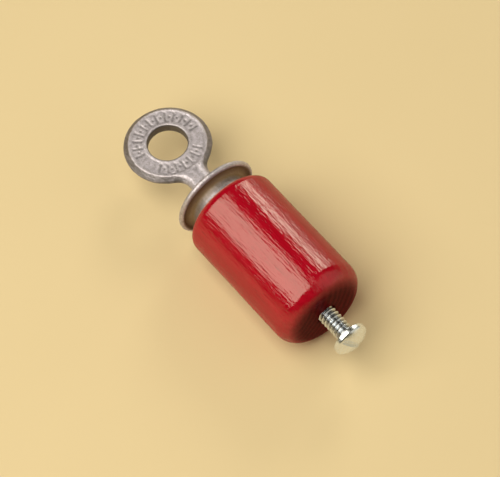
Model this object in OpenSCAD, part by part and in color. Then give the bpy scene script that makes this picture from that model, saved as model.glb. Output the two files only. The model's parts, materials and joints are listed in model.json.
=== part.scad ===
// Friction bird call: a cast key with a round plug turns in the bore of a
// turned wooden barrel, and a screw in the end of the plug keeps it in.
// The call lies on its side. +X runs from the key to the screw, +Z is up and
// square to the flat of the key's ring. The origin is under the middle of the
// whole length, on the surface that the barrel lies on. Sizes in millimetres.

/* [Barrel] */
// Diameter of the turned barrel
barrel_d = 18; // [16.6:0.2:24]
// Length of the barrel
barrel_len = 28.4; // [25:0.2:45]
// Rounding of the edge at the key end
mouth_round = 1.8; // [0.4:0.1:2.2]
// Rounding of the edge at the screw end
foot_round = 3.6; // [0.8:0.1:4]
// Chamfer where the plug goes in
bore_chamfer = 0.3; // [0.1:0.05:0.6]

/* [Key ring] */
// Outer diameter of the ring
ring_d = 16.4; // [14.6:0.2:20]
// Diameter of the straight part of the finger hole
hole_d = 7.4; // [5:0.1:8.2]
// Thickness of the ring
ring_t = 2.2; // [2.1:0.1:3.6]
// Bevel of the ring's outer edges
ring_bevel = 1; // [0.3:0.05:1.05]
// Rounding of the finger hole's edges
hole_round = 0.3; // [0.1:0.05:0.9]
// Width of the raised border beside each edge
border_w = 0.25; // [0.1:0.05:0.6]
// Depth of the sunk band between the borders
band_depth = 0.1; // [0.05:0.05:0.3]

/* [Key neck] */
// Width of the neck at its narrowest
neck_w = 4.9; // [3.6:0.1:7]
// Length of the neck between its two fillets
neck_len = 1.95; // [0.4:0.05:8]
// Fillet from the neck into the ring's edge
ring_fillet = 2.5; // [1:0.1:4]
// Fillet from the neck's sides into the flange
side_flare = 2.3; // [0.8:0.1:3]
// Fillet from the neck's faces into the flange
face_flare = 3; // [0.8:0.1:3.8]

/* [Key flange] */
// Outer diameter of the flange
flange_d = 16.6; // [15.6:0.2:20]
// Thickness of the rolled rim
rim_t = 1.1; // [0.9:0.1:2]
// Thickness of the flange inside its rim
web_t = 0.65; // [0.5:0.05:1]
// Depth of the dish below the rim, on the barrel's side
dish_depth = 0.35; // [0.2:0.05:0.7]

/* [Key plug] */
// Diameter of the plug that turns in the barrel
plug_d = 11.1; // [8:0.1:12]
// Length of the plug from the floor of the dish to its end
plug_len = 17.8; // [12:0.2:20]
// Fillet between the dish and the plug
root_fillet = 1.4; // [0.2:0.05:1.6]
// Chamfer at the plug's end
plug_chamfer = 0.5; // [0.2:0.05:1]
// Clearance around the plug, on the radius
running_gap = 0.05; // [0.01:0.01:0.1]

/* [Screw] */
// Outer diameter of the thread
screw_d = 3.5; // [2.5:0.1:4.5]
// Diameter of the head
head_d = 6.7; // [5.6:0.1:8.6]
// Height of the head
head_h = 2.2; // [1.6:0.1:3]
// Height of the straight side of the head
head_side = 0.9; // [0.4:0.1:1.2]
// Width of the driver slot
slot_w = 1.1; // [0.7:0.05:1.4]
// Depth of the driver slot
slot_depth = 1.1; // [0.6:0.1:1.4]
// Turn of the driver slot away from upright, in degrees
slot_turn = 37; // [0:1:90]
// Length of thread held in the plug
thread_hold = 5.6; // [3:0.1:9]
// Chamfer at the tip of the screw
tip_chamfer = 0.5; // [0.2:0.05:0.8]
// Clearance around the thread where it passes through the wood, on the radius
wood_gap = 0.2; // [0.1:0.05:0.6]

/* [Rest position] */
// Gap between the flange's rim and the barrel
key_out = 2.85; // [0.8:0.05:5]
// Length of thread between the barrel and the screw's head
screw_out = 6; // [1:0.1:9]

/* [Hidden] */

// Fineness of every round form
$fn = 96;
// Overrun of every cut past the face it opens
cut_over = 0.5;
// Clearance around the thread in the plug, on the radius
thread_gap = 0.02;
// Room left past the screw's tip, and past the plug when it is pushed home
end_room = 0.5;
// Overlap of the neck's bevels on the ring's, where they meet
bevel_lap = 0.1;

barrel_r = barrel_d / 2;
ring_r = ring_d / 2;
hole_r = hole_d / 2;
neck_r = neck_w / 2;
flange_r = flange_d / 2;
rim_r = rim_t / 2;
plug_r = plug_d / 2;
screw_r = screw_d / 2;
head_r = head_d / 2;
bore_r = plug_r + running_gap;

// Places along the axis, counted from the middle of the flange's rim
dish_x = rim_r - dish_depth;
web_back_x = dish_x - web_t;
plug_end_x = dish_x + plug_len;
mouth_x = rim_r + key_out;
foot_x = mouth_x + barrel_len;
bore_end_x = plug_end_x + key_out + end_room;
head_x = foot_x + screw_out;
tip_x = plug_end_x - thread_hold;
shank_len = head_x - tip_x;
thread_end_x = tip_x - end_room;

// Plan of the neck, counted from the ring's centre: the centre of the fillet
// that touches both the ring and the neck, then the start of the flare
fillet_y = neck_r + ring_fillet;
fillet_x = sqrt(pow(ring_r + ring_fillet, 2) - pow(fillet_y, 2));
flare_x = fillet_x + neck_len;
neck_end_x = flare_x + side_flare;
neck_root_x = neck_end_x + web_t / 2;
ring_x = web_back_x - neck_end_x;

// The band between the ring's borders
band_outer_r = ring_r - ring_bevel - border_w;
band_inner_r = hole_r + hole_round + border_w;

// Radius of the dome on the screw's head
dome_h = head_h - head_side;
dome_r = (pow(head_r, 2) + pow(dome_h, 2)) / (2 * dome_h);

// The origin is under the middle of the length, on the surface below
axis_z = max(barrel_r, flange_r);
key_far_x = ring_x - ring_r;
head_far_x = head_x + head_h;
middle_x = (key_far_x + head_far_x) / 2;

// Puts a form that runs along +Z on the call's axis, starting at place x
module on_axis(x) {
    translate([x - middle_x, 0, axis_z])
        rotate([0, 90, 0])
            children();
}

// Puts a flat form in the plane of the ring, counted from the ring's centre
module at_ring() {
    translate([ring_x - middle_x, 0, axis_z])
        children();
}

// Half profile of a round bar with a rounded edge at each end
module bar_profile(r, len, start_round, end_round) {
    translate([0, start_round])
        square([r, len - start_round - end_round]);
    square([r - start_round, start_round]);
    translate([r - start_round, start_round])
        circle(start_round);
    translate([0, len - end_round])
        square([r - end_round, end_round]);
    translate([r - end_round, len - end_round])
        circle(end_round);
}

// A straight hole along +Z that starts one overrun early
module hole_cut(r, len) {
    translate([0, 0, -cut_over])
        cylinder(r = r, h = len + cut_over);
}

// Turned wooden barrel: a bore for the plug, a thin hole for the screw
module barrel() {
    color([0.62, 0.02, 0.08])
        difference() {
            on_axis(mouth_x)
                rotate_extrude()
                    bar_profile(barrel_r, barrel_len, mouth_round, foot_round);
            on_axis(mouth_x)
                hole_cut(bore_r, bore_end_x - mouth_x);
            on_axis(mouth_x)
                bore_mouth();
            on_axis(bore_end_x)
                hole_cut(screw_r + wood_gap, foot_x - bore_end_x + cut_over);
        }
}

// Cone that breaks the sharp edge of the bore
module bore_mouth() {
    translate([0, 0, -cut_over])
        cylinder(
            r1 = bore_r + bore_chamfer + cut_over,
            r2 = bore_r,
            h = bore_chamfer + cut_over
        );
}

// Cross-section of the ring on one side of its hole: bevelled outside, with
// rounded edges at the hole
module ring_profile() {
    half_t = ring_t / 2;
    polygon([
        [hole_r + hole_round, -half_t],
        [ring_r - ring_bevel, -half_t],
        [ring_r, ring_bevel - half_t],
        [ring_r, half_t - ring_bevel],
        [ring_r - ring_bevel, half_t],
        [hole_r + hole_round, half_t]
    ]);
    translate([hole_r, hole_round - half_t])
        square([hole_round + border_w, ring_t - 2 * hole_round]);
    for (side = [-1, 1])
        translate([hole_r + hole_round, side * (half_t - hole_round)])
            circle(hole_round);
}

// Cast ring with a sunk band on both faces
module ring() {
    at_ring()
        rotate_extrude()
            difference() {
                ring_profile();
                for (side = [-1, 1])
                    translate([band_inner_r, side * ring_t / 2 - band_depth])
                        square([band_outer_r - band_inner_r, 2 * band_depth]);
            }
}

// Plan of one side of the neck, from the ring's centre into the flange's web
module neck_plan() {
    difference() {
        polygon([
            [0, 0],
            [fillet_x, fillet_y],
            [fillet_x, neck_r],
            [flare_x, neck_r],
            [flare_x, neck_r + side_flare],
            [neck_root_x, neck_r + side_flare],
            [neck_root_x, 0]
        ]);
        translate([fillet_x, fillet_y])
            circle(ring_fillet);
        translate([flare_x, neck_r + side_flare])
            circle(side_flare);
    }
}

// Side view of one half of the neck: as flat as the ring, then flared
module neck_side() {
    half_t = ring_t / 2;
    difference() {
        square([neck_root_x, half_t + face_flare]);
        translate([0, half_t])
            square([neck_end_x - face_flare, face_flare]);
        translate([neck_end_x - face_flare, half_t + face_flare])
            circle(face_flare);
    }
}

// Cones that carry the ring's bevel round the fillets and let it run out
// along the neck
module fillet_bevels() {
    lapped_r = ring_fillet - bevel_lap;
    for (face = [0, 1])
        mirror([0, 0, face])
            for (side = [-1, 1])
                translate([fillet_x, side * fillet_y, ring_t / 2 - ring_bevel])
                    cylinder(
                        r1 = lapped_r,
                        r2 = lapped_r + ring_bevel + cut_over,
                        h = ring_bevel + cut_over
                    );
}

// Neck, flat at the ring and round at the flange: the plan is turned about
// the axis, and the side view cuts it down to the thickness of the ring
module neck() {
    difference() {
        intersection() {
            on_axis(ring_x)
                rotate_extrude()
                    mirror([1, -1])
                        neck_plan();
            at_ring()
                rotate([90, 0, 0])
                    translate([0, 0, -ring_r])
                        linear_extrude(ring_d)
                            for (half = [0, 1])
                                mirror([0, half])
                                    neck_side();
        }
        at_ring()
            fillet_bevels();
        at_ring()
            translate([0, 0, -ring_t])
                cylinder(r = band_outer_r, h = 2 * ring_t);
    }
}

// Half profile of the dished flange, with its rolled rim and the fillet at
// the root of the plug
module flange_profile() {
    translate([flange_r - rim_r, 0])
        circle(rim_r);
    translate([0, web_back_x])
        square([flange_r - rim_r, web_t]);
    difference() {
        translate([0, web_back_x])
            square([plug_r + root_fillet, web_t + root_fillet]);
        translate([plug_r + root_fillet, dish_x + root_fillet])
            circle(root_fillet);
    }
}

// Half profile of the round plug, from inside the flange to its chamfered end
module plug_profile() {
    polygon([
        [0, web_back_x],
        [plug_r, web_back_x],
        [plug_r, plug_end_x - plug_chamfer],
        [plug_r - plug_chamfer, plug_end_x],
        [0, plug_end_x]
    ]);
}

// One casting: ring, neck, flange and plug, with the hole for the screw
module key_plug() {
    color([0.66, 0.64, 0.64])
        difference() {
            union() {
                ring();
                neck();
                on_axis(0)
                    rotate_extrude() {
                        flange_profile();
                        plug_profile();
                    }
            }
            on_axis(thread_end_x)
                cylinder(
                    r = screw_r + thread_gap,
                    h = plug_end_x - thread_end_x + cut_over
                );
        }
}

// Half profile of the screw's shank, from its chamfered tip into the head
module shank_profile() {
    polygon([
        [0, 0],
        [screw_r - tip_chamfer, 0],
        [screw_r, tip_chamfer],
        [screw_r, shank_len + head_side],
        [0, shank_len + head_side]
    ]);
}

// Half profile of the screw's head: straight side, domed top
module head_profile() {
    translate([0, shank_len])
        intersection() {
            square([head_r, head_h]);
            translate([0, head_h - dome_r])
                circle(dome_r);
        }
}

// Slotted machine screw
module screw() {
    color([0.8, 0.8, 0.82])
        difference() {
            on_axis(tip_x)
                rotate_extrude() {
                    shank_profile();
                    head_profile();
                }
            on_axis(head_far_x - slot_depth)
                rotate([0, 0, slot_turn])
                    translate([-head_d, -slot_w / 2, 0])
                        cube([2 * head_d, slot_w, slot_depth + cut_over]);
        }
}

barrel();
key_plug();
screw();
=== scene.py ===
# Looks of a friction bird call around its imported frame: a cast key, a turned
# and lacquered barrel, and a machine screw. Shapes are made in millimetres, in
# the frame of the part, and become metres when a mesh becomes an object.
import json
import math

import bmesh
import bpy
import numpy as np
from mathutils import Matrix, Vector


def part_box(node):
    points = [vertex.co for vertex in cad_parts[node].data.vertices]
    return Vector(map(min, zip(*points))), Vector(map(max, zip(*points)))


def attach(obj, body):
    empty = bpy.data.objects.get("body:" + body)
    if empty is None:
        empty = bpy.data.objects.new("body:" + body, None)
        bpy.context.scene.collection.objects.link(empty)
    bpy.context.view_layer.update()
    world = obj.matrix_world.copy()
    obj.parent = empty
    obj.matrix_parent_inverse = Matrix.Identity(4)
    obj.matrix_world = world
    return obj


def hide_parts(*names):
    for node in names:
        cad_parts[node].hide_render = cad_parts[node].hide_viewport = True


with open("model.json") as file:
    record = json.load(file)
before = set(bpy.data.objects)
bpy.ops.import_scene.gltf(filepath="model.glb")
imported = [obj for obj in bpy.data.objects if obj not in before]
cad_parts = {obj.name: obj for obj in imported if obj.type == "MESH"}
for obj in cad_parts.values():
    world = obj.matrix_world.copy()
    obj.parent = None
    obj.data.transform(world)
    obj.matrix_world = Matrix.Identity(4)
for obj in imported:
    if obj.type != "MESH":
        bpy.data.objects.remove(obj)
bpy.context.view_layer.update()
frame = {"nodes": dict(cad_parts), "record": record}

MM = 0.001
SEED = 11

# Places and sizes read from the frame
MOUNTS = {m["name"]: m for m in frame["record"]["mounts"]}
AXIS_Z = MOUNTS["barrel_grip"]["pos_m"][2] / MM
BARREL_R = MOUNTS["barrel_grip"]["dims"]["r_mm"]
RING_X = MOUNTS["lanyard_hole"]["pos_m"][0] / MM
HOLE_R = MOUNTS["lanyard_hole"]["dims"]["r_mm"]
MOUTH_X, FOOT_X = (corner[0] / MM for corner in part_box("barrel"))
KEY_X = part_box("key_plug")[0][0] / MM
TIP_X, HEAD_END_X = (corner[0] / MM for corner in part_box("screw"))
HEAD_R = (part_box("screw")[1][1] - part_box("screw")[0][1]) / 2 / MM

# Sizes of the barrel that the frame doesn't state
MOUTH_ROUND = 1.8
FOOT_ROUND = 3.6
BORE_R = 5.6
BORE_CHAMFER = 0.3
BORE_DEPTH = 17.95
SCREW_HOLE_R = 1.95
SCREW_HOLE_EDGE = 0.15

# Sizes of the key: its ring with the sunk band, and its flange and plug
RING_R = 8.2
BAND_INNER_R = 4.25
BAND_OUTER_R = 6.95
RIM_T = 1.1
FLANGE_R = 8.3
PLUG_R = 5.55
KEY_OUT = 2.85
FLANGE_X = MOUTH_X - KEY_OUT - RIM_T / 2

# Sizes of the screw
THREAD_R = 3.5 / 2
THREAD_PITCH = 0.794
THREAD_DEPTH = 0.43
HEAD_H = 2.2
HEAD_SIDE = 0.9
HEAD_EDGE = 0.12
SLOT_W = 1.1
SLOT_DEPTH = 1.1
SLOT_TURN = 37


# Meshes and objects

# How far a point moves to the mean of its neighbours, and back so that nothing shrinks
SMOOTHING = 0.5
SWELLING = -0.51


def object_from(name, mesh, material):
    """Smooth object in the scene from a mesh in millimetres."""
    mesh.transform(Matrix.Scale(MM, 4))
    for polygon in mesh.polygons:
        polygon.use_smooth = True
    mesh.materials.clear()
    mesh.materials.append(material)
    mesh.update()
    obj = bpy.data.objects.new(name, mesh)
    bpy.context.scene.collection.objects.link(obj)
    return obj


def mesh_from(name, vertices, faces):
    mesh = bpy.data.meshes.new(name)
    mesh.from_pydata([tuple(v) for v in vertices], [], faces)
    mesh.validate()
    return mesh


def mesh_from_work(name, work):
    """Mesh from a bmesh, which is freed."""
    mesh = bpy.data.meshes.new(name)
    work.to_mesh(mesh)
    work.free()
    return mesh


def vertex_values(mesh, name):
    """Places ("co") or normals ("normal") of the vertices, one row each."""
    flat = np.empty(len(mesh.vertices) * 3)
    mesh.vertices.foreach_get(name, flat)
    return flat.reshape(-1, 3)


def edge_ends(mesh):
    flat = np.empty(len(mesh.edges) * 2, int)
    mesh.edges.foreach_get("vertices", flat)
    return flat.reshape(-1, 2)


def move_vertices(mesh, points):
    mesh.vertices.foreach_set("co", points.ravel())
    mesh.update()


def float_attribute(mesh, name, values):
    attribute = mesh.attributes.new(name, "FLOAT", "POINT")
    attribute.data.foreach_set("value", np.clip(values, 0, 1).astype(np.float32))


def voxel_remesh(obj, voxel):
    remesh = obj.modifiers.new("voxels", "REMESH")
    remesh.mode = "VOXEL"
    remesh.voxel_size = voxel


def evaluated_mesh(obj):
    """New mesh of the object with its modifiers applied."""
    graph = bpy.context.evaluated_depsgraph_get()
    return bpy.data.meshes.new_from_object(obj.evaluated_get(graph))


def neighbour_mean(values, edges):
    """Mean of each vertex's neighbours."""
    count = len(values)
    sums = np.zeros_like(values)
    for column in range(values.shape[1]):
        sums[:, column] = np.bincount(edges[:, 0], values[edges[:, 1], column], count)
        sums[:, column] += np.bincount(edges[:, 1], values[edges[:, 0], column], count)
    degree = np.bincount(edges.ravel(), minlength=count)
    return sums / np.maximum(degree, 1)[:, None]


def softened(points, edges, passes):
    """Points smoothed without shrinking, as a casting's edges are."""
    for _ in range(passes):
        for factor in (SMOOTHING, SWELLING):
            points = points + factor * (neighbour_mean(points, edges) - points)
    return points


# Profiles and fields

def arc(centre, radius, start, end, steps):
    """Points (x, r) of an arc, from angle start to end in degrees, both ends included."""
    angles = np.radians(np.linspace(start, end, steps + 1))
    x, r = centre
    return [(x + radius * math.cos(a), r + radius * math.sin(a)) for a in angles]


def stretch(start, end, step):
    """Points (x, r) from start towards end, a step apart, without the end."""
    count = max(1, round(math.dist(start, end) / step))
    dx, dr = end[0] - start[0], end[1] - start[1]
    return [(start[0] + dx * i / count, start[1] + dr * i / count) for i in range(count)]


def turned(profile, segments):
    """Closed profile of (x, r) points turned about the call's axis: the x, r and angle of
    every vertex, one row per point, and the faces."""
    angles = np.linspace(0, 2 * math.pi, segments, endpoint=False)
    x = np.array([p[0] for p in profile])[:, None] + 0 * angles
    r = np.array([p[1] for p in profile])[:, None] + 0 * angles
    rows = len(profile)
    faces = []
    for i in range(rows):
        near, far = i * segments, (i + 1) % rows * segments
        for k in range(segments):
            m = (k + 1) % segments
            faces.append((near + k, near + m, far + m, far + k))
    return x, r, angles + 0 * x, faces


def on_axis(x, r, angle):
    """Points around the call's axis. Angle 0 is up, and a quarter turn is +Y."""
    return np.stack([x, r * np.sin(angle), AXIS_Z + r * np.cos(angle)], -1).reshape(-1, 3)


def smooth_noise(rng, rows, columns, u, v):
    """Smooth noise from -1 to 1 at u (0 to 1 along the rows) and v (0 to 1, wrapping)."""
    table = rng.uniform(-1, 1, (rows + 3, columns))
    a, b = u * rows, v * columns
    i, j = np.floor(a).astype(int), np.floor(b).astype(int)
    s, t = a - i, b - j
    s, t = s * s * (3 - 2 * s), t * t * (3 - 2 * t)
    i = np.clip(i, 0, rows + 1)
    j0, j1 = j % columns, (j + 1) % columns
    near = table[i, j0] * (1 - t) + table[i, j1] * t
    far = table[i + 1, j0] * (1 - t) + table[i + 1, j1] * t
    return near * (1 - s) + far * s


def rise(values, start, end):
    """0 up to start and 1 from end on, with a smooth step between."""
    t = np.clip((values - start) / (end - start), 0, 1)
    return t * t * (3 - 2 * t)


def patch(distance, half, edge):
    """1 inside half, falling to 0 over edge."""
    return 1 - rise(distance, half, half + edge)


# Shader nodes

def new_material(name):
    material = bpy.data.materials.new(name)
    material.use_nodes = True
    tree = material.node_tree
    tree.nodes.clear()
    shader = tree.nodes.new("ShaderNodeBsdfPrincipled")
    output = tree.nodes.new("ShaderNodeOutputMaterial")
    tree.links.new(shader.outputs["BSDF"], output.inputs["Surface"])
    return material, tree, shader


def feed(tree, socket, value):
    """Give the input socket a value, or link it to the socket that makes the value."""
    if isinstance(value, bpy.types.NodeSocket):
        tree.links.new(value, socket)
    else:
        socket.default_value = value


def add(tree, kind, inputs=None, **settings):
    """A node of that kind. Inputs hold values or the sockets that feed them."""
    node = tree.nodes.new(kind)
    for key, value in settings.items():
        setattr(node, key, value)
    for key, value in (inputs or {}).items():
        feed(tree, node.inputs[key], value)
    return node


def object_place(tree, stretch_x=1.0):
    """Object coordinates in millimetres. A stretch below 1 draws a pattern out along X."""
    place = add(tree, "ShaderNodeTexCoord").outputs["Object"]
    per_mm = (stretch_x / MM, 1 / MM, 1 / MM)
    return add(tree, "ShaderNodeMapping", {"Vector": place, "Scale": per_mm}).outputs["Vector"]


def noise(tree, place, scale, detail=3.0, roughness=0.5, distortion=0.0):
    inputs = {"Vector": place, "Scale": scale, "Detail": detail, "Roughness": roughness,
              "Distortion": distortion}
    return add(tree, "ShaderNodeTexNoise", inputs).outputs["Fac"]


def spread(tree, value, low, high, to_low=0.0, to_high=1.0):
    """Low to high of the value made to_low to to_high."""
    inputs = {"Value": value, "From Min": low, "From Max": high,
              "To Min": to_low, "To Max": to_high}
    return add(tree, "ShaderNodeMapRange", inputs).outputs["Result"]


def scaled(tree, share, at_zero, at_one):
    """A share from 0 to 1 made at_zero to at_one."""
    return spread(tree, share, 0.0, 1.0, at_zero, at_one)


def mixed(tree, factor, a, b):
    """Colour mix of a and b."""
    node = add(tree, "ShaderNodeMix", data_type="RGBA")
    factor_in, a_in, b_in = (node.inputs[i] for i in (0, 6, 7))
    for socket, value in ((factor_in, factor), (a_in, a), (b_in, b)):
        feed(tree, socket, value)
    return node.outputs[2]


def combined(tree, a, b, operation):
    node = add(tree, "ShaderNodeMath", {0: a, 1: b}, operation=operation)
    return node.outputs[0]


def bumped(tree, shader, height, distance, *normals, strength=1.0):
    """Bump by height, whose full range is distance millimetres, on the shader's normals."""
    inputs = {"Height": height, "Strength": strength, "Distance": distance * MM}
    bump = add(tree, "ShaderNodeBump", inputs)
    for name in normals:
        tree.links.new(bump.outputs["Normal"], shader.inputs[name])


def painted(tree, name):
    """Values painted on the mesh's vertices."""
    return add(tree, "ShaderNodeAttribute", attribute_name=name).outputs["Fac"]


# Materials

# The values that a noise mostly has, and the nearer ones that give more contrast
NOISE_RANGE = (0.3, 0.7)
NOISE_CORE = (0.35, 0.65)

LACQUER_DEEP = (0.32, 0.0012, 0.011, 1)
LACQUER_BRIGHT = (0.38, 0.0022, 0.016, 1)
LACQUER_PORE = (0.16, 0.0008, 0.005, 1)
# Pale pink of the painted highlight line along the mouth's edge
LACQUER_PAINTED_HIGHLIGHT = (0.90, 0.52, 0.45, 1)
LACQUER_ROUGH = (0.16, 0.28)
# How much the grain's patterns are drawn out along the barrel
RIDGE_STRETCH = 0.2
PORE_STRETCH = 0.07
BROAD_STRETCH = 0.06
PORE_SHARE = 0.5
PORE_HEIGHT = 0.75

# The end grain: two tones, dark from stain and from painted shade, where it starts, how far
# its stain and painted shade and its dullness go, and the tree's heart, which lies outside
# the barrel at this Y and Z
END_GRAIN_DARK = (0.028, 0.003, 0.003, 1)
END_GRAIN_LIGHT = (0.095, 0.0075, 0.007, 1)
END_GRAIN_START = FOOT_X - 0.30 * FOOT_ROUND
END_GRAIN_STAIN_AND_SHADE = 0.9
END_GRAIN_DULL = 0.25
HEART = (-13, 18)

# From the mouth, where the painted highlight line starts, is full, starts to fade and ends,
# and the shares of it that show where the noise breaks it most and least
MOUTH_HIGHLIGHT_LINE = [MOUTH_X + distance for distance in (0.12, 0.18, 0.34, 0.75)]
MOUTH_HIGHLIGHT_SHARE = (0.4, 0.85)

# The coat alone mirrors. Its high index at half weight keeps the floor's reflection low
# on the barrel's sides, where the photo's barrel lies in a dark slot.
COAT_WEIGHT = 0.50
END_GRAIN_COAT = 0.09
COAT_ROUGHNESS = 0.03
COAT_IOR = 2.0

PEWTER_DARK = (0.455, 0.429, 0.522, 1)
PEWTER_LIGHT = (0.69, 0.652, 0.786, 1)
PEWTER_PIT = (0.28, 0.25, 0.24, 1)
# Pale colour of wear and a painted highlight on the casting's convex edges
PEWTER_WORN_HIGHLIGHT = (0.85, 0.82, 0.81, 1)
# Dark colour of grime and painted shade in hollows, on sides and in the hole
PEWTER_GRIME_AND_SHADE = (0.115, 0.108, 0.112, 1)
# Brown of the painted reflection in the flange's dish
PEWTER_DISH_REFLECTION = (0.25, 0.165, 0.075, 1)
PEWTER_ROUGH = (0.46, 0.62)
PIT_SHARE = 0.6
DISH_REFLECTION_METALLIC = 0.4
# What is painted on the casting, from the lowest layer up, and how far each one covers
PEWTER_LAYERS = (
    ("wear", 0.5, PEWTER_WORN_HIGHLIGHT),
    ("grime", 0.85, PEWTER_GRIME_AND_SHADE),
    ("tarnish", 0.9, PEWTER_DISH_REFLECTION),
)

NICKEL = (0.80, 0.86, 0.97, 1)
# Dark colour of grime and painted shade in the thread's roots
NICKEL_GRIME_AND_SHADE = (0.04, 0.038, 0.04, 1)
NICKEL_ROUGH = (0.18, 0.30)
MARK_STRETCH = 4.0
LEAST_ROOT_DARKENING = 0.5

CARD_DARK = (0.70, 0.574, 0.367, 1)
CARD_LIGHT = (0.73, 0.599, 0.391, 1)
BACKDROP_COLOUR = (1, 0.79, 0.40, 1)
BACKDROP_LEVEL = 0.80

# Full height of each bump
BUMP_LACQUER = 0.05
BUMP_PEWTER = 0.095
BUMP_NICKEL = 0.01

# The far floor's own tone, as a share of the backdrop's, and where it sets in, in metres
GLOW_SHARE = 0.86
GLOW_CENTRE = (0, -0.2, 0)
GLOW_START, GLOW_FULL = 0.36, 1.2


def end_grain_colour(tree, pores):
    """End grain darkened by stain and painted shade, with year rings about the tree's heart
    and fine pores.
    """
    place = add(tree, "ShaderNodeTexCoord").outputs["Object"]
    inputs = {"Vector": place, "Location": (0, -HEART[0], -HEART[1]),
              "Scale": (0, 1 / MM, 1 / MM)}
    from_heart = add(tree, "ShaderNodeMapping", inputs).outputs["Vector"]
    inputs = {"Vector": from_heart, "Scale": 0.24, "Distortion": 3.5, "Detail": 2.0,
              "Detail Scale": 0.8}
    years = add(tree, "ShaderNodeTexWave", inputs, wave_type="RINGS", rings_direction="X")
    years = spread(tree, years.outputs["Fac"], 0.2, 0.9, 0.0, 0.5)
    fibres = combined(tree, years, spread(tree, pores, 0.38, 0.62, 0.0, 0.5), "ADD")
    return mixed(tree, fibres, END_GRAIN_DARK, END_GRAIN_LIGHT)


def lacquer_colour(tree, pores, end_grain, x):
    """Red with dark pores, end grain darkened by stain and painted shade, and a painted
    highlight line at the mouth, at x along the barrel.
    """
    place = object_place(tree, BROAD_STRETCH)
    broad = noise(tree, place, scale=0.7, detail=2.0, distortion=0.3)
    red = mixed(tree, spread(tree, broad, *NOISE_CORE), LACQUER_DEEP, LACQUER_BRIGHT)
    dark = spread(tree, pores, 0.60, 0.72, 0.0, PORE_SHARE)
    red = mixed(tree, dark, red, LACQUER_PORE)
    # The foot's end grain darkened by stain and by painted shade
    stain_and_shade = scaled(tree, end_grain, 0.0, END_GRAIN_STAIN_AND_SHADE)
    red = mixed(tree, stain_and_shade, red, end_grain_colour(tree, pores))
    # A painted highlight line along the mouth's edge, broken up by noise
    start, full, fade, end = (place * MM for place in MOUTH_HIGHLIGHT_LINE)
    mouth_highlight = combined(
        tree, spread(tree, x, start, full), spread(tree, x, fade, end, 1.0, 0.0), "MULTIPLY"
    )
    highlight_breaks = noise(tree, object_place(tree), scale=1.1)
    mouth_highlight = combined(tree, mouth_highlight, spread(tree, highlight_breaks, 0.38, 0.55, *MOUTH_HIGHLIGHT_SHARE), "MULTIPLY")
    return mixed(tree, mouth_highlight, red, LACQUER_PAINTED_HIGHLIGHT)


def lacquer_material():
    """Crimson gloss lacquer over birch. The grain shows as fine ridges and thin dark pores,
    the end grain at the foot is darker from stain and painted shade and is duller, and a
    thin line at the mouth's edge is a painted pale highlight."""
    material, tree, shader = new_material("lacquered_birch")
    place = object_place(tree, RIDGE_STRETCH)
    ridges = noise(tree, place, scale=2.6, detail=1.5, roughness=0.4, distortion=0.3)
    place = object_place(tree, PORE_STRETCH)
    pores = noise(tree, place, scale=4.5, detail=2.0, distortion=0.5)
    x = add(tree, "ShaderNodeTexCoord").outputs["Object"]
    x = add(tree, "ShaderNodeSeparateXYZ", {"Vector": x}).outputs["X"]
    end_grain = spread(tree, x, END_GRAIN_START * MM, FOOT_X * MM)
    colour = lacquer_colour(tree, pores, end_grain, x)
    tree.links.new(colour, shader.inputs["Base Color"])
    height = combined(tree, ridges, combined(tree, pores, PORE_HEIGHT, "MULTIPLY"), "ADD")
    bumped(tree, shader, height, BUMP_LACQUER, "Normal", "Coat Normal")
    polish = spread(tree, ridges, *NOISE_RANGE, *LACQUER_ROUGH)
    dull = scaled(tree, end_grain, 0.0, END_GRAIN_DULL)
    tree.links.new(combined(tree, polish, dull, "ADD"), shader.inputs["Roughness"])
    coat = scaled(tree, end_grain, COAT_WEIGHT, END_GRAIN_COAT)
    tree.links.new(coat, shader.inputs["Coat Weight"])
    shader.inputs["Specular IOR Level"].default_value = 0.0
    shader.inputs["Coat Roughness"].default_value = COAT_ROUGHNESS
    shader.inputs["Coat IOR"].default_value = COAT_IOR
    return material


def pewter_material():
    """Cast pewter: grey, mottled and pitted, with a fine sandy skin. Grime and painted shade
    darken its hollows, sides and hole, wear and a painted highlight brighten its edges, and
    a painted brown reflection colours the dish, which is less metallic there."""
    material, tree, shader = new_material("cast_pewter")
    place = object_place(tree)
    skin = noise(tree, place, scale=2.0, detail=4.0, roughness=0.65)
    mottle = noise(tree, place, scale=1.2, detail=4.0, roughness=0.65)
    pits = noise(tree, place, scale=3.6, detail=2.0)
    grey = mixed(tree, spread(tree, mottle, *NOISE_CORE), PEWTER_DARK, PEWTER_LIGHT)
    grey = mixed(tree, spread(tree, pits, 0.58, 0.72, 0.0, PIT_SHARE), grey, PEWTER_PIT)
    for name, most, colour in PEWTER_LAYERS:
        grey = mixed(tree, scaled(tree, painted(tree, name), 0.0, most), grey, colour)
    tree.links.new(grey, shader.inputs["Base Color"])
    rough = spread(tree, skin, *NOISE_RANGE, *PEWTER_ROUGH)
    tree.links.new(rough, shader.inputs["Roughness"])
    bumped(tree, shader, skin, BUMP_PEWTER, "Normal")
    # Less metallic where the dish has its painted brown reflection
    metallic = scaled(tree, painted(tree, "tarnish"), 1.0, DISH_REFLECTION_METALLIC)
    tree.links.new(metallic, shader.inputs["Metallic"])
    return material


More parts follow.
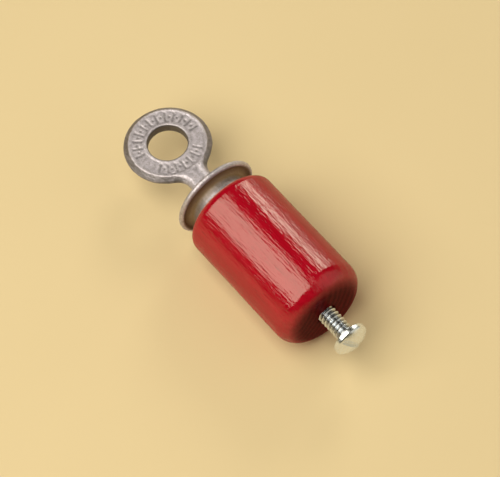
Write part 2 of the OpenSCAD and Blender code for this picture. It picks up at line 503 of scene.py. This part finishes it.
def nickel_material():
    """Bright nickel plate with faint rolling marks and a little grime and painted shade in the
    thread's roots.
    """
    material, tree, shader = new_material("nickel_plate")
    marks = noise(tree, object_place(tree, MARK_STRETCH), scale=3.0, roughness=0.6)
    uneven = noise(tree, object_place(tree), scale=1.2)
    uneven = spread(tree, uneven, *NOISE_RANGE, LEAST_ROOT_DARKENING, 1.0)
    # Grime and painted shade in the thread's roots, uneven along the screw
    root_darkening = combined(tree, painted(tree, "grime"), uneven, "MULTIPLY")
    tree.links.new(mixed(tree, root_darkening, NICKEL, NICKEL_GRIME_AND_SHADE), shader.inputs["Base Color"])
    rough = spread(tree, marks, *NOISE_RANGE, *NICKEL_ROUGH)
    tree.links.new(rough, shader.inputs["Roughness"])
    bumped(tree, shader, marks, BUMP_NICKEL, "Normal", strength=0.5)
    shader.inputs["Metallic"].default_value = 1.0
    return material


def floor_material():
    """Plain pale card, very slightly mottled. Far from the call, where the lamps no longer
    reach, it shows its own tone as a backdrop."""
    material, tree, shader = new_material("pale_floor")
    mottle = noise(tree, object_place(tree), scale=0.02, detail=2.0)
    tree.links.new(mixed(tree, mottle, CARD_DARK, CARD_LIGHT), shader.inputs["Base Color"])
    place = add(tree, "ShaderNodeTexCoord").outputs["Object"]
    away = add(tree, "ShaderNodeVectorMath", {0: place, 1: GLOW_CENTRE}, operation="DISTANCE")
    level = GLOW_SHARE * BACKDROP_LEVEL
    glow = spread(tree, away.outputs["Value"], GLOW_START, GLOW_FULL, 0.0, level)
    path = add(tree, "ShaderNodeLightPath").outputs
    shown = combined(tree, path["Is Camera Ray"], path["Is Glossy Ray"], "ADD")
    shown = combined(tree, shown, path["Is Transmission Ray"], "ADD")
    glow = combined(tree, glow, shown, "MULTIPLY")
    tree.links.new(glow, shader.inputs["Emission Strength"])
    shader.inputs["Emission Color"].default_value = BACKDROP_COLOUR
    shader.inputs["Roughness"].default_value = 0.7
    shader.inputs["Specular IOR Level"].default_value = 0.2
    return material


# Barrel

BARREL_SEGMENTS = 480
BARREL_STEP = 0.25
MOUTH_STEPS = 16
FOOT_STEPS = 26
HOLE_EDGE_STEPS = 3

# The raised grain. The surface sinks by its height first, so it stays in the solid, and
# both fade in over a width around the bore. The grain drifts round the barrel by shares of
# a turn: (share, cells along, cells round). Its waves are (height, cells along, cells
# round, shift along).
GRAIN_HEIGHT = 0.05
GRAIN_DRIFT = ((0.010, 4, 9), (0.003, 9, 30))
GRAIN_WAVES = ((0.020, 3, 38, 0.0), (0.017, 5, 90, 0.05), (0.012, 6, 160, 0.11))
GRAIN_FADE = 1.0


def barrel_profile():
    """Closed profile of the barrel, from the screw's hole round by the bore."""
    bore_end_x = MOUTH_X + BORE_DEPTH
    mouth_centre = (MOUTH_X + MOUTH_ROUND, BARREL_R - MOUTH_ROUND)
    foot_centre = (FOOT_X - FOOT_ROUND, BARREL_R - FOOT_ROUND)
    mouth_start = (MOUTH_X, BORE_R + BORE_CHAMFER)
    hole_edge_r = SCREW_HOLE_R + SCREW_HOLE_EDGE
    hole_centre = (FOOT_X - SCREW_HOLE_EDGE, hole_edge_r)
    points = [(bore_end_x, SCREW_HOLE_R), (bore_end_x, BORE_R)]
    points += [(MOUTH_X + BORE_CHAMFER, BORE_R)]
    points += stretch(mouth_start, (MOUTH_X, mouth_centre[1]), BARREL_STEP)
    points += arc(mouth_centre, MOUTH_ROUND, 180, 90, MOUTH_STEPS)[:-1]
    points += stretch((mouth_centre[0], BARREL_R), (foot_centre[0], BARREL_R), BARREL_STEP)
    points += arc(foot_centre, FOOT_ROUND, 90, 0, FOOT_STEPS)[:-1]
    points += stretch((FOOT_X, foot_centre[1]), (FOOT_X, hole_edge_r), BARREL_STEP)
    points += arc(hole_centre, SCREW_HOLE_EDGE, 0, -90, HOLE_EDGE_STEPS)
    return points


def grain_relief(x, angle):
    """Height of the raised grain, over the length and round the barrel."""
    rng = np.random.default_rng(SEED)
    along = (x - MOUTH_X) / (FOOT_X - MOUTH_X)
    straight = angle / (2 * math.pi)
    turn = straight
    for share, rows, columns in GRAIN_DRIFT:
        turn = turn + share * smooth_noise(rng, rows, columns, along, straight)
    height = 0.0
    for amount, rows, columns, shift in GRAIN_WAVES:
        height = height + amount * smooth_noise(rng, rows, columns, along + shift, turn)
    return height


def make_barrel(material):
    x, r, angle, faces = turned(barrel_profile(), BARREL_SEGMENTS)
    outside = np.clip((r - BORE_R - BORE_CHAMFER) / GRAIN_FADE, 0, 1)
    r = r + (grain_relief(x, angle) - GRAIN_HEIGHT) * outside
    mesh = mesh_from("barrel_wood", on_axis(x, r, angle), faces)
    barrel = object_from("barrel_wood", mesh, material)
    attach(barrel, "barrel")
    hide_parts("barrel")


# Key

KEY_VOXEL = 0.146
WELD_DISTANCE = 0.0005

# Passes of smoothing over the whole casting, and more along the neck and in the hole's edge
CAST_PASSES = 3
NECK_PASSES = 16
HOLE_PASSES = 8
HOLE_EDGE = 0.4
HOLE_FADE = 0.3

# Where the neck's weight rises off the ring's face and along the call, and where it falls
NECK_OFF_FACE = (BAND_OUTER_R + 0.1, RING_R - 0.2)
NECK_START = (RING_X + 4.5, RING_X + 6.5)
NECK_END = (FLANGE_X - 1.6, FLANGE_X - 0.7)

# The uneven skin of the casting: coarse and fine waves (height, cells along, cells
# across), the length and girth that the cells fill, and where the skin ends
CAST_COARSE = (0.018, 60, 40)
CAST_FINE = (0.010, 140, 100)
CAST_LENGTH = 62
CAST_GIRTH = 36
CAST_SHIFT = 9
CAST_END_X = FLANGE_X + 2.5

# Plain bars and dots that stand in the ring's band in place of its lettering: the arcs
# that they fill, in degrees from the neck, and their number in each
ORNAMENT_ARCS = ((84, 260, 11), (-52, 40, 6))
BAR_HALF_W = 0.10
BAR_HALF_L = 0.90
DOT_R = 0.14
ORNAMENT_EDGE = 0.28
ORNAMENT_DEPTH = 0.085
BAR_LENGTH_SPREAD = 0.13
BAR_TURN_SPREAD = 0.9

# A shallow groove runs along both faces of the neck, a little off its middle
GROOVE_Y = 0.75
GROOVE_HALF_W = 0.8
GROOVE_DEPTH = 0.24

# How far grime with painted shade fills each place, and how the places begin and end
GRIME_AND_SHADE_SHARE = {"ornament": 0.3, "sides": 0.4, "bevel": 0.7, "hole": 1.0, "rim": 0.3, "plug": 0.5}
BEVEL_START = (BAND_OUTER_R, BAND_OUTER_R + 0.4)
BEVEL_END_FADE = 0.8
HOLE_SHADE_R = HOLE_R + 0.1
HOLE_SHADE_FADE = 0.25
PLUG_SHADE_R = PLUG_R + 0.4

# The dish, painted brown as a painted reflection: half its width, its fade, and how far behind
# the flange it ends
DISH_HALF = 0.8
DISH_FADE = 0.5
DISH_DEPTH = 2

# The bends that fully fill a hollow with grime and painted shade, and that fully brighten an
# edge with wear and a painted highlight
HOLLOW_BEND = 0.021
EDGE_BEND = 0.056
BEND_PASSES = 2

# How upright a normal is on a face with ornament and on one with the groove, and how far it
# leans where a face begins to be a side, and is one fully
ORNAMENT_UPRIGHT = 0.7
GROOVE_UPRIGHT = 0.5
SIDE_TILT = (0.12, 0.40)


def remeshed(source, voxel):
    """The node's solid in millimetres as one even mesh."""
    mesh = source.data.copy()
    mesh.transform(Matrix.Scale(1 / MM, 4))
    work = bmesh.new()
    work.from_mesh(mesh)
    bmesh.ops.remove_doubles(work, verts=work.verts, dist=WELD_DISTANCE)
    work.to_mesh(mesh)
    work.free()
    holder = bpy.data.objects.new("remesh_holder", mesh)
    bpy.context.scene.collection.objects.link(holder)
    voxel_remesh(holder, voxel)
    even = evaluated_mesh(holder)
    bpy.data.objects.remove(holder)
    return even


def ornament_depth(x, y):
    """Depth of the bars and dots in the ring's band, from 0 to 1."""
    dx, dy = x - RING_X, y
    radius = np.hypot(dx, dy)
    angle = np.degrees(np.arctan2(dy, dx))
    along = np.abs(radius - (BAND_INNER_R + BAND_OUTER_R) / 2)
    depth = np.zeros_like(radius)
    rng = np.random.default_rng(SEED + 2)
    for start, end, count in ORNAMENT_ARCS:
        step = (end - start) / (2 * count)
        for i in range(2 * count + 1):
            half_l = BAR_HALF_L - rng.uniform(0, BAR_LENGTH_SPREAD)
            slip = rng.uniform(-BAR_TURN_SPREAD, BAR_TURN_SPREAD)
            turn = (angle - start - i * step - slip + 180) % 360 - 180
            across = np.abs(np.radians(turn) * radius)
            if i % 2:
                part = patch(np.hypot(across, along), DOT_R, ORNAMENT_EDGE)
            else:
                part = patch(across, BAR_HALF_W, ORNAMENT_EDGE)
                part = part * patch(along, half_l, ORNAMENT_EDGE)
            depth = np.maximum(depth, part)
    return depth


def neck_weight(x, y):
    """1 along the neck, falling to 0 at the ring's face and at the flange."""
    off_face = rise(np.hypot(x - RING_X, y), *NECK_OFF_FACE)
    return off_face * rise(x, *NECK_START) * (1 - rise(x, *NECK_END))


def cast_skin(x, y, z):
    """Height of the casting's uneven skin, which ends behind the flange."""
    rng = np.random.default_rng(SEED + 1)
    along = (x - KEY_X) / CAST_LENGTH
    height = 0.0
    for (amount, rows, columns), across in ((CAST_COARSE, y + CAST_SHIFT), (CAST_FINE, y + z)):
        height = height + amount * smooth_noise(rng, rows, columns, along, across / CAST_GIRTH)
    return height * (x < CAST_END_X)


def cast_shape(points, edges):
    """The remeshed solid's points with a casting's soft edges, and the neck's weight."""
    points = softened(points, edges, CAST_PASSES)
    x, y = points[:, 0], points[:, 1]
    neck = neck_weight(x, y)[:, None]
    hole = patch(np.hypot(x - RING_X, y), HOLE_R + HOLE_EDGE, HOLE_FADE)[:, None]
    for weight, passes in ((neck, NECK_PASSES), (hole, HOLE_PASSES)):
        for _ in range(passes):
            points = points + SMOOTHING * weight * (neighbour_mean(points, edges) - points)
    return points, neck[:, 0]


def paint_key(mesh, edges, shaped, relieved, sunk):
    """Paint the casting's grime and painted shade, its wear and painted highlight, and the
    dish's painted brown reflection. The places are those of the points as shaped, and the
    bends those of the points with their relief."""
    x, y, z = shaped.T
    direction = vertex_values(mesh, "normal")
    bend = ((neighbour_mean(relieved, edges) - relieved) * direction).sum(1)
    for _ in range(BEND_PASSES):
        bend = neighbour_mean(bend[:, None], edges)[:, 0]
    from_ring = np.hypot(x - RING_X, y)
    radius = np.hypot(y, z - AXIS_Z)
    sides = rise(1 - np.abs(direction[:, 2]), *SIDE_TILT) * (x < FLANGE_X - RIM_T / 2)
    bevel = sides * rise(from_ring, *BEVEL_START) * patch(from_ring, RING_R, BEVEL_END_FADE)
    places = {
        "ornament": sunk,
        "sides": sides,
        "bevel": bevel,
        "hole": patch(from_ring, HOLE_SHADE_R, HOLE_SHADE_FADE),
        "rim": (radius > FLANGE_R - RIM_T) & (np.abs(x - FLANGE_X) < RIM_T),
        "plug": (x > FLANGE_X) & (radius < PLUG_SHADE_R),
    }
    # Grime with painted shade: sideways faces and the bevel get painted shade, the hole's wall
    # a painted shadow, and the plug painted shade that dims its highlight
    darkening = sum(share * places[name] for name, share in GRIME_AND_SHADE_SHARE.items())
    dish_middle_r = (PLUG_R + FLANGE_R - RIM_T / 2) / 2
    dish = patch(np.abs(radius - dish_middle_r), DISH_HALF, DISH_FADE)
    dish *= (x > FLANGE_X) & (x < FLANGE_X + DISH_DEPTH)
    # Grime and painted shade in hollows, from the bend, and in the listed places
    float_attribute(mesh, "grime", bend / HOLLOW_BEND + darkening)
    # Wear and a painted highlight on convex edges
    float_attribute(mesh, "wear", -bend / EDGE_BEND)
    # Painted brown reflection in the flange's dish
    float_attribute(mesh, "tarnish", dish)


def make_key(material):
    mesh = remeshed(frame["nodes"]["key_plug"], KEY_VOXEL)
    edges = edge_ends(mesh)
    shaped, neck = cast_shape(vertex_values(mesh, "co"), edges)
    move_vertices(mesh, shaped)
    direction = vertex_values(mesh, "normal")
    x, y, z = shaped.T
    face = (x < RING_X + RING_R) & (z > AXIS_Z) & (direction[:, 2] > ORNAMENT_UPRIGHT)
    sunk = np.where(face, ornament_depth(x, y), 0.0)
    groove = np.exp(-((y - GROOVE_Y) / GROOVE_HALF_W) ** 2) * neck
    groove = groove * (np.abs(direction[:, 2]) > GROOVE_UPRIGHT)
    relief = cast_skin(x, y, z) - ORNAMENT_DEPTH * sunk - GROOVE_DEPTH * groove
    relieved = shaped + direction * relief[:, None]
    move_vertices(mesh, relieved)
    paint_key(mesh, edges, shaped, relieved, sunk)
    key = object_from("key_casting", mesh, material)
    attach(key, "key")
    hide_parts("key_plug")


# Screw

THREAD_ROWS = 14
THREAD_SEGMENTS = 64
HEAD_SEGMENTS = 96
HEAD_EDGE_STEPS = 4
DOME_STEPS = 24
HEAD_VOXEL = 0.06
HEAD_PASSES = 5

# Shares of half a pitch that are the crest's flat and the flank
THREAD_CREST = 0.12
THREAD_FLANK = 0.70
RUN_OUT = 0.5
TIP_CHAMFER = 0.5
# Above 1 it keeps the grime and painted shade near the thread's root
ROOT_SHADE_POWER = 1.3


def thread_depth(turns):
    """Depth of the thread from 0 at the crest to 1 at the root, over one pitch."""
    t = np.abs((turns % 1) - 0.5) * 2
    return np.clip((t - THREAD_CREST) / THREAD_FLANK, 0, 1)


def thread_mesh():
    """Shank with a right-handed thread, which runs out under the head."""
    head_x = HEAD_END_X - HEAD_H
    rows = round((head_x - TIP_X) / THREAD_PITCH * THREAD_ROWS)
    x = np.linspace(TIP_X, head_x + HEAD_SIDE / 2, rows)[:, None]
    angle = np.linspace(0, 2 * math.pi, THREAD_SEGMENTS, endpoint=False)[None, :]
    deep = thread_depth(x / THREAD_PITCH + angle / (2 * math.pi))
    run_out = np.clip((head_x - x) / RUN_OUT, 0, 1)
    tip = np.clip((x - TIP_X) / TIP_CHAMFER, 0, 1)
    r = THREAD_R - THREAD_DEPTH * deep * run_out
    r = np.minimum(r, THREAD_R - TIP_CHAMFER + TIP_CHAMFER * tip)
    x, angle = x + 0 * r, angle + 0 * r
    faces = []
    for i in range(rows - 1):
        a, b = i * THREAD_SEGMENTS, (i + 1) * THREAD_SEGMENTS
        for k in range(THREAD_SEGMENTS):
            m = (k + 1) % THREAD_SEGMENTS
            faces.append((a + k, a + m, b + m, b + k))
    last = (rows - 1) * THREAD_SEGMENTS
    faces.append(tuple(range(THREAD_SEGMENTS - 1, -1, -1)))
    faces.append(tuple(range(last, last + THREAD_SEGMENTS)))
    mesh = mesh_from("screw_thread", on_axis(x, r, angle), faces)
    # Grime and painted shade deepen towards the thread's root
    float_attribute(mesh, "grime", (deep * run_out).ravel() ** ROOT_SHADE_POWER)
    return mesh


def head_profile():
    """Points (x, r) of the domed head, from the middle of its underside."""
    dome_h = HEAD_H - HEAD_SIDE
    dome_r = (HEAD_R ** 2 + dome_h ** 2) / (2 * dome_h)
    head_x = HEAD_END_X - HEAD_H
    rim_angle = math.degrees(math.asin((HEAD_R - HEAD_EDGE) / dome_r))
    edge_centre = (head_x + HEAD_EDGE, HEAD_R - HEAD_EDGE)
    points = [(head_x, 0.0)]
    points += arc(edge_centre, HEAD_EDGE, 180, 90, HEAD_EDGE_STEPS)
    points += [(head_x + HEAD_SIDE - HEAD_EDGE, HEAD_R)]
    points += arc((HEAD_END_X - dome_r, 0.0), dome_r, rim_angle, 0, DOME_STEPS)
    return points


def head_mesh():
    """Domed head, closed at both ends of its profile."""
    angles = np.linspace(0, 2 * math.pi, HEAD_SEGMENTS, endpoint=False)
    work = bmesh.new()
    rings = []
    for x, r in head_profile():
        if r < 1e-6:
            rings.append([work.verts.new((x, 0, AXIS_Z))] * HEAD_SEGMENTS)
        else:
            places = [(x, r * math.sin(a), AXIS_Z + r * math.cos(a)) for a in angles]
            rings.append([work.verts.new(place) for place in places])
    for near, far in zip(rings, rings[1:]):
        for k in range(HEAD_SEGMENTS):
            m = (k + 1) % HEAD_SEGMENTS
            corners = list(dict.fromkeys((near[k], near[m], far[m], far[k])))
            if len(corners) > 2:
                work.faces.new(corners)
    bmesh.ops.recalc_face_normals(work, faces=work.faces)
    return mesh_from_work("head", work)


def slot_cutter():
    """Block as wide as the slot, turned about the axis."""
    work = bmesh.new()
    bmesh.ops.create_cube(work, size=1.0)
    size = Matrix.Diagonal((2 * SLOT_DEPTH, 3 * HEAD_R, SLOT_W, 1))
    turn = Matrix.Rotation(math.radians(SLOT_TURN - 90), 4, "X")
    place = Matrix.Translation((HEAD_END_X, 0, AXIS_Z))
    bmesh.ops.transform(work, matrix=place @ turn @ size, verts=work.verts)
    return mesh_from_work("slot_cutter", work)


def cut(mesh, cutter_mesh):
    """The mesh less the cutter, as one even mesh."""
    body = bpy.data.objects.new("cut_body", mesh)
    cutter = bpy.data.objects.new("cut_tool", cutter_mesh)
    for obj in (body, cutter):
        bpy.context.scene.collection.objects.link(obj)
    boolean = body.modifiers.new("cut", "BOOLEAN")
    boolean.operation = "DIFFERENCE"
    boolean.solver = "EXACT"
    boolean.object = cutter
    voxel_remesh(body, HEAD_VOXEL)
    result = evaluated_mesh(body)
    bpy.data.objects.remove(body)
    bpy.data.objects.remove(cutter)
    return result


def make_screw(material):
    head = cut(head_mesh(), slot_cutter())
    move_vertices(head, softened(vertex_values(head, "co"), edge_ends(head), HEAD_PASSES))
    float_attribute(head, "grime", np.zeros(len(head.vertices)))
    work = bmesh.new()
    work.from_mesh(thread_mesh())
    work.from_mesh(head)
    screw = object_from("machine_screw", mesh_from_work("machine_screw", work), material)
    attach(screw, "key")
    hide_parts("screw")


# Stage, lamps and camera

FLOOR_SIZE = 6.0
LAMP_DISTANCE = 0.6
LAMP_COLOUR = (1, 0.93, 0.72)

# Soft boxes: name, angle from straight up towards +Y, tilt towards +X, the angles that it
# spans across and along the call's axis (all in degrees), radiance and shape
LAMPS = (
    ("left_box", -29.3, -4, 56.5, 54, 4.1, "RECTANGLE"),
    ("right_box", 55.8, -27, 15.5, 18, 7.5, "RECTANGLE"),
    ("edge_box", 76, -27, 5, 18, 3.0, "RECTANGLE"),
    ("fill_box", 50, 34, 66, 70, 0.45, "ELLIPSE"),
)

# The studio is as pale as the floor up to this height of a direction, and dark above it
HORIZON_Z = (0.04, 0.16)
SKY_LEVEL = 0.035

# Camera of the photograph, solved from the call's outline
CAMERA_PLACE = (221.79, -142.3, 461.1)
CAMERA_RIGHT = (0.6283, 0.7755, -0.0625)
CAMERA_UP = (-0.6544, 0.5703, 0.4965)
CAMERA_ROLL = 0.55
FOCAL_PX = 2912.0
PHOTO_WIDTH_PX = 500.0
SENSOR_WIDTH = 36.0
CLIP_START, CLIP_END = 0.01, 20


def make_floor(material):
    work = bmesh.new()
    bmesh.ops.create_grid(work, x_segments=8, y_segments=8, size=FLOOR_SIZE / 2)
    mesh = mesh_from_work("floor", work)
    mesh.materials.append(material)
    floor = bpy.data.objects.new("floor", mesh)
    bpy.context.scene.collection.objects.link(floor)


def spanned(angle):
    """Width at the lamps' distance that spans the angle, in degrees."""
    return 2 * LAMP_DISTANCE * math.tan(math.radians(angle / 2))


def make_lamp(name, about_axis, tilt, across, along, radiance, shape):
    """Soft box that faces the call."""
    a, t = math.radians(about_axis), math.radians(tilt)
    outward = Vector((math.sin(t), math.cos(t) * math.sin(a), math.cos(t) * math.cos(a)))
    light = bpy.data.lights.new(name, "AREA")
    light.shape = shape
    light.size, light.size_y = spanned(along), spanned(across)
    light.energy = radiance * light.size * light.size_y * math.pi
    light.color = LAMP_COLOUR
    lamp = bpy.data.objects.new(name, light)
    x_axis = Vector((1, 0, 0))
    x_axis = (x_axis - outward * x_axis.dot(outward)).normalized()
    turn = Matrix((x_axis, outward.cross(x_axis), outward)).transposed().to_4x4()
    centre = Vector((0, 0, AXIS_Z * MM))
    lamp.matrix_world = Matrix.Translation(centre + outward * LAMP_DISTANCE) @ turn
    bpy.context.scene.collection.objects.link(lamp)


def make_world():
    """Plain studio: as pale as the floor at the horizon, dark above it."""
    world = bpy.data.worlds.new("studio")
    bpy.context.scene.world = world
    world.use_nodes = True
    tree = world.node_tree
    tree.nodes.clear()
    direction = add(tree, "ShaderNodeTexCoord").outputs["Generated"]
    height = add(tree, "ShaderNodeSeparateXYZ", {"Vector": direction}).outputs["Z"]
    level = spread(tree, height, *HORIZON_Z, BACKDROP_LEVEL, SKY_LEVEL)
    inputs = {"Color": BACKDROP_COLOUR, "Strength": level}
    background = add(tree, "ShaderNodeBackground", inputs)
    output = add(tree, "ShaderNodeOutputWorld")
    tree.links.new(background.outputs["Background"], output.inputs["Surface"])


def make_camera():
    right = Vector(CAMERA_RIGHT).normalized()
    back = right.cross(Vector(CAMERA_UP)).normalized()
    right = Matrix.Rotation(math.radians(CAMERA_ROLL), 3, back) @ right
    axes = Matrix((right, back.cross(right), back)).transposed().to_4x4()
    data = bpy.data.cameras.new("camera")
    data.sensor_fit = "HORIZONTAL"
    data.sensor_width = SENSOR_WIDTH
    data.lens = SENSOR_WIDTH * FOCAL_PX / PHOTO_WIDTH_PX
    data.clip_start, data.clip_end = CLIP_START, CLIP_END
    camera = bpy.data.objects.new("camera", data)
    camera.matrix_world = Matrix.Translation(Vector(CAMERA_PLACE) * MM) @ axes
    bpy.context.scene.collection.objects.link(camera)
    bpy.context.scene.camera = camera


make_barrel(lacquer_material())
make_key(pewter_material())
make_screw(nickel_material())
make_floor(floor_material())
make_world()
for lamp_values in LAMPS:
    make_lamp(*lamp_values)
make_camera()
bpy.context.scene.view_settings.view_transform = "Standard"
